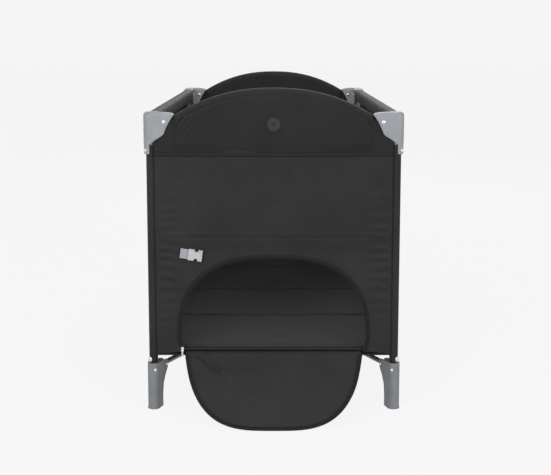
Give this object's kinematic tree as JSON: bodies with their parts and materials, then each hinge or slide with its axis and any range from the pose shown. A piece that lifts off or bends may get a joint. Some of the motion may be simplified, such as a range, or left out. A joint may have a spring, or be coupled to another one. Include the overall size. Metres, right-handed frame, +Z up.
{
  "type": "playpen",
  "caption": "Folding travel playpen with a tube frame, hinged base, fabric walls, arched ends, a folding mattress and a crawl-through door flap.",
  "frame": {"origin": "middle of the centre hub's foot, on the ground", "axes": "+Z up, -Y towards the end with the door, +Y along the length, +X to the right seen from the door end"},
  "size_m": [0.65, 1.3966, 0.825],
  "materials": {
    "frame_steel": "satin grey powder coat",
    "grey_plastic": "moulded, fine texture",
    "black_plastic": "moulded",
    "badge_rubber": "soft moulded patch",
    "black_fabric": "plain woven polyester",
    "padded_fabric": "plain woven polyester over foam",
    "window_net": "knitted net",
    "mattress_cover": "plain woven polyester over foam",
    "bright_metal": "polished",
    "buckle_plastic": "moulded, smooth",
    "webbing": "woven strap"
  },
  "bodies": {
    "front_left_corner": {"post_front_left": "frame_steel", "foot_front_left": "grey_plastic", "corner_bracket_front_left": "grey_plastic", "front_panel": "black_fabric", "front_arch_pad": "padded_fabric", "left_wall": "black_fabric", "left_window_net": "window_net", "left_rail_sleeve": "padded_fabric", "badge": "badge_rubber"},
    "base_tube_front_left": {"base_tube_front_left": "frame_steel"},
    "hub": {"hub": "grey_plastic", "hub_strap": "black_fabric", "floor_panel": "black_fabric"},
    "base_tube_front_right": {"base_tube_front_right": "frame_steel"},
    "base_tube_back_left": {"base_tube_back_left": "frame_steel"},
    "base_tube_back_right": {"base_tube_back_right": "frame_steel"},
    "front_right_corner": {"post_front_right": "frame_steel", "foot_front_right": "grey_plastic", "corner_bracket_front_right": "grey_plastic", "right_wall": "black_fabric", "right_window_net": "window_net", "right_rail_sleeve": "padded_fabric"},
    "back_left_corner": {"post_back_left": "frame_steel", "foot_back_left": "grey_plastic", "corner_bracket_back_left": "grey_plastic", "back_panel": "black_fabric", "back_arch_pad": "padded_fabric"},
    "back_right_corner": {"post_back_right": "frame_steel", "foot_back_right": "grey_plastic", "corner_bracket_back_right": "grey_plastic"},
    "front_rail_left": {"front_rail_left": "frame_steel"},
    "front_latch": {"front_latch": "grey_plastic"},
    "front_rail_right": {"front_rail_right": "frame_steel"},
    "front_latch_button": {"front_latch_button": "black_plastic"},
    "back_rail_left": {"back_rail_left": "frame_steel"},
    "back_latch": {"back_latch": "grey_plastic"},
    "back_rail_right": {"back_rail_right": "frame_steel"},
    "back_latch_button": {"back_latch_button": "black_plastic"},
    "left_rail_front": {"left_rail_front": "frame_steel"},
    "left_latch": {"left_latch": "grey_plastic"},
    "left_rail_back": {"left_rail_back": "frame_steel"},
    "left_latch_button": {"left_latch_button": "black_plastic"},
    "right_rail_front": {"right_rail_front": "frame_steel"},
    "right_latch": {"right_latch": "grey_plastic"},
    "right_rail_back": {"right_rail_back": "frame_steel"},
    "right_latch_button": {"right_latch_button": "black_plastic"},
    "mattress_section_1": {"mattress_section_1": "mattress_cover"},
    "mattress_section_2": {"mattress_section_2": "mattress_cover"},
    "mattress_section_3": {"mattress_section_3": "mattress_cover"},
    "mattress_section_4": {"mattress_section_4": "mattress_cover"},
    "door_flap": {"door_flap": "black_fabric"},
    "zip_slider": {"zip_slider": "bright_metal"},
    "zip_pull": {"zip_pull": "bright_metal"},
    "buckle": {"buckle": "buckle_plastic", "buckle_webbing": "webbing"}
  },
  "joints": [
    {"name": "fold", "type": "hinge", "parent": "front_left_corner", "child": "base_tube_front_left", "pos_m": [-0.28815, -0.56836, 0.105], "axis": [0.8919, -0.4522, 0], "range_deg": [0, 82], "deforming": ["front_panel", "back_panel", "front_arch_pad", "back_arch_pad", "left_wall", "right_wall", "left_window_net", "right_window_net", "left_rail_sleeve", "right_rail_sleeve", "floor_panel", "mattress_section_1", "mattress_section_2", "mattress_section_3", "mattress_section_4"]},
    {"name": "hub_level", "type": "hinge", "parent": "base_tube_front_left", "child": "hub", "pos_m": [-0.02465, -0.04862, 0.105], "axis": [0.8919, -0.4522, 0], "range_deg": [-82, 0]},
    {"name": "base_tube_front_right_fold", "type": "hinge", "parent": "hub", "child": "base_tube_front_right", "pos_m": [0.02465, -0.04862, 0.105], "axis": [0.8919, 0.4522, 0], "range_deg": [0, 82]},
    {"name": "front_right_corner_level", "type": "hinge", "parent": "base_tube_front_right", "child": "front_right_corner", "pos_m": [0.28815, -0.56836, 0.105], "axis": [0.8919, 0.4522, 0], "range_deg": [-82, 0]},
    {"name": "base_tube_back_left_fold", "type": "hinge", "parent": "hub", "child": "base_tube_back_left", "pos_m": [-0.02465, 0.04862, 0.105], "axis": [-0.8919, -0.4522, 0], "range_deg": [0, 82]},
    {"name": "back_left_corner_level", "type": "hinge", "parent": "base_tube_back_left", "child": "back_left_corner", "pos_m": [-0.28815, 0.56836, 0.105], "axis": [-0.8919, -0.4522, 0], "range_deg": [-82, 0]},
    {"name": "base_tube_back_right_fold", "type": "hinge", "parent": "hub", "child": "base_tube_back_right", "pos_m": [0.02465, 0.04862, 0.105], "axis": [-0.8919, 0.4522, 0], "range_deg": [0, 82]},
    {"name": "back_right_corner_level", "type": "hinge", "parent": "base_tube_back_right", "child": "back_right_corner", "pos_m": [0.28815, 0.56836, 0.105], "axis": [-0.8919, 0.4522, 0], "range_deg": [-82, 0]},
    {"name": "front_rail_left_fold", "type": "hinge", "parent": "front_left_corner", "child": "front_rail_left", "pos_m": [-0.2795, -0.6085, 0.74], "axis": [0, 1, 0], "range_deg": [0, 82]},
    {"name": "front_latch_level", "type": "hinge", "parent": "front_rail_left", "child": "front_latch", "pos_m": [-0.016, -0.6085, 0.74], "axis": [0, 1, 0], "range_deg": [-82, 0]},
    {"name": "front_rail_right_fold", "type": "hinge", "parent": "front_latch", "child": "front_rail_right", "pos_m": [0.016, -0.6085, 0.74], "axis": [0, -1, 0], "range_deg": [0, 82]},
    {"name": "back_rail_left_fold", "type": "hinge", "parent": "back_left_corner", "child": "back_rail_left", "pos_m": [-0.2795, 0.6085, 0.74], "axis": [0, 1, 0], "range_deg": [0, 82]},
    {"name": "back_latch_level", "type": "hinge", "parent": "back_rail_left", "child": "back_latch", "pos_m": [-0.016, 0.6085, 0.74], "axis": [0, 1, 0], "range_deg": [-82, 0]},
    {"name": "back_rail_right_fold", "type": "hinge", "parent": "back_latch", "child": "back_rail_right", "pos_m": [0.016, 0.6085, 0.74], "axis": [0, -1, 0], "range_deg": [0, 82]},
    {"name": "left_rail_front_fold", "type": "hinge", "parent": "front_left_corner", "child": "left_rail_front", "pos_m": [-0.3085, -0.5795, 0.74], "axis": [-1, 0, 0], "range_deg": [0, 82]},
    {"name": "left_latch_level", "type": "hinge", "parent": "left_rail_front", "child": "left_latch", "pos_m": [-0.3085, -0.05976, 0.74], "axis": [-1, 0, 0], "range_deg": [-82, 0]},
    {"name": "left_rail_back_fold", "type": "hinge", "parent": "left_latch", "child": "left_rail_back", "pos_m": [-0.3085, 0.05976, 0.74], "axis": [1, 0, 0], "range_deg": [0, 82]},
    {"name": "right_rail_front_fold", "type": "hinge", "parent": "front_right_corner", "child": "right_rail_front", "pos_m": [0.3085, -0.5795, 0.74], "axis": [-1, 0, 0], "range_deg": [0, 82]},
    {"name": "right_latch_level", "type": "hinge", "parent": "right_rail_front", "child": "right_latch", "pos_m": [0.3085, -0.05976, 0.74], "axis": [-1, 0, 0], "range_deg": [-82, 0]},
    {"name": "right_rail_back_fold", "type": "hinge", "parent": "right_latch", "child": "right_rail_back", "pos_m": [0.3085, 0.05976, 0.74], "axis": [1, 0, 0], "range_deg": [0, 82]},
    {"name": "front_button_press", "type": "slide", "parent": "front_latch", "child": "front_latch_button", "axis": [0, 0, 1], "range_m": [0, 0.004], "stiffness_N_per_m": 60, "springref_m": -0.002},
    {"name": "back_button_press", "type": "slide", "parent": "back_latch", "child": "back_latch_button", "axis": [0, 0, 1], "range_m": [0, 0.004], "stiffness_N_per_m": 60, "springref_m": -0.002},
    {"name": "left_button_press", "type": "slide", "parent": "left_latch", "child": "left_latch_button", "axis": [0, 0, 1], "range_m": [0, 0.004], "stiffness_N_per_m": 60, "springref_m": -0.002},
    {"name": "right_button_press", "type": "slide", "parent": "right_latch", "child": "right_latch_button", "axis": [0, 0, 1], "range_m": [0, 0.004], "stiffness_N_per_m": 60, "springref_m": -0.002},
    {"name": "mattress_lift", "type": "slide", "parent": "hub", "child": "mattress_section_2", "axis": [0, 0, 1], "range_m": [0, 0.121]},
    {"name": "mattress_hinge_1", "type": "hinge", "parent": "mattress_section_2", "child": "mattress_section_1", "pos_m": [0, -0.3015, 0.16], "axis": [-1, 0, 0], "range_deg": [0, 90]},
    {"name": "mattress_hinge_2", "type": "hinge", "parent": "mattress_section_2", "child": "mattress_section_3", "pos_m": [0, 0, 0.16], "axis": [1, 0, 0], "range_deg": [0, 90]},
    {"name": "mattress_hinge_3", "type": "hinge", "parent": "mattress_section_3", "child": "mattress_section_4", "pos_m": [0, 0.3015, 0.16], "axis": [1, 0, 0], "range_deg": [0, 90]},
    {"name": "door_flap_hinge", "type": "hinge", "parent": "front_left_corner", "child": "door_flap", "pos_m": [0, -0.621, 0.1535], "axis": [-1, 0, 0], "range_deg": [0, 135.5]},
    {"name": "zip_slider_run", "type": "slide", "parent": "front_left_corner", "child": "zip_slider", "axis": [0, 0, 1], "range_m": [0, 0.06]},
    {"name": "zip_pull_swing", "type": "hinge", "parent": "zip_slider", "child": "zip_pull", "pos_m": [-0.233, -0.6243, 0.1555], "axis": [-1, 0, 0], "range_deg": [0, 150]},
    {"name": "buckle_swing", "type": "hinge", "parent": "front_left_corner", "child": "buckle", "pos_m": [-0.2357, -0.6193, 0.4098], "axis": [-0.1392, 0, -0.9903], "range_deg": [0, 120]}
  ],
  "couplings": [
    {"joint": "hub_level", "follows": "fold", "ratio": -1},
    {"joint": "base_tube_front_right_fold", "follows": "fold", "ratio": 1},
    {"joint": "front_right_corner_level", "follows": "fold", "ratio": -1},
    {"joint": "base_tube_back_left_fold", "follows": "fold", "ratio": 1},
    {"joint": "back_left_corner_level", "follows": "fold", "ratio": -1},
    {"joint": "base_tube_back_right_fold", "follows": "fold", "ratio": 1},
    {"joint": "back_right_corner_level", "follows": "fold", "ratio": -1},
    {"joint": "front_rail_left_fold", "follows": "fold", "ratio": 1},
    {"joint": "front_latch_level", "follows": "fold", "ratio": -1},
    {"joint": "front_rail_right_fold", "follows": "fold", "ratio": 1},
    {"joint": "back_rail_left_fold", "follows": "fold", "ratio": 1},
    {"joint": "back_latch_level", "follows": "fold", "ratio": -1},
    {"joint": "back_rail_right_fold", "follows": "fold", "ratio": 1},
    {"joint": "left_rail_front_fold", "follows": "fold", "ratio": 1},
    {"joint": "left_latch_level", "follows": "fold", "ratio": -1},
    {"joint": "left_rail_back_fold", "follows": "fold", "ratio": 1},
    {"joint": "right_rail_front_fold", "follows": "fold", "ratio": 1},
    {"joint": "right_latch_level", "follows": "fold", "ratio": -1},
    {"joint": "right_rail_back_fold", "follows": "fold", "ratio": 1},
    {"joint": "mattress_lift", "follows": "fold", "m_per_rad": 0.083847}
  ]
}
